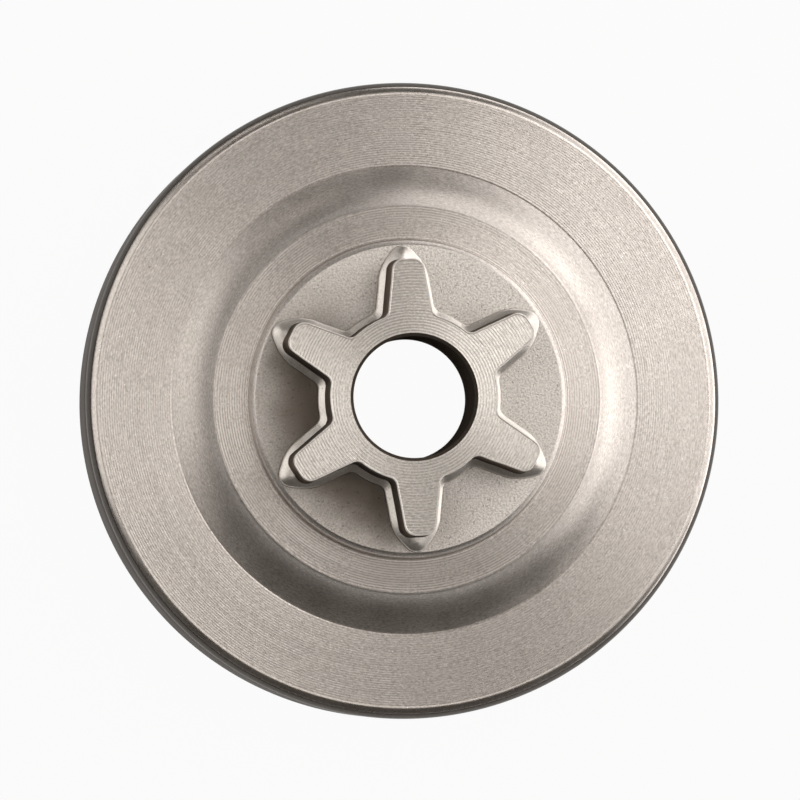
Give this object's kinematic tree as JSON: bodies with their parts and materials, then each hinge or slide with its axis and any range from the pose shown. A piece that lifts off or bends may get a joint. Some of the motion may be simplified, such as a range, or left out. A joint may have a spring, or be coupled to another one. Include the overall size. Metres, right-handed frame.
{
  "type": "chainsaw clutch drum with spur sprocket",
  "caption": "Forged and turned steel clutch drum: an open cup with a raised hub, a toothed spur sprocket on the hub that drives the saw chain, and a plain bore for a needle bearing.",
  "frame": {"origin": "centre of the open rim, in the plane that the drum rests on", "axes": "+Z along the drum's axis from the open rim to the sprocket's front face, +Y through the middle of one tooth"},
  "size_m": [0.0688, 0.0688, 0.023],
  "materials": {
    "steel": "turned faces with fine circular marks, blasted as-forged hub and tooth sides"
  },
  "bodies": {
    "root": {"clutch_drum_sprocket": "steel"}
  },
  "joints": []
}
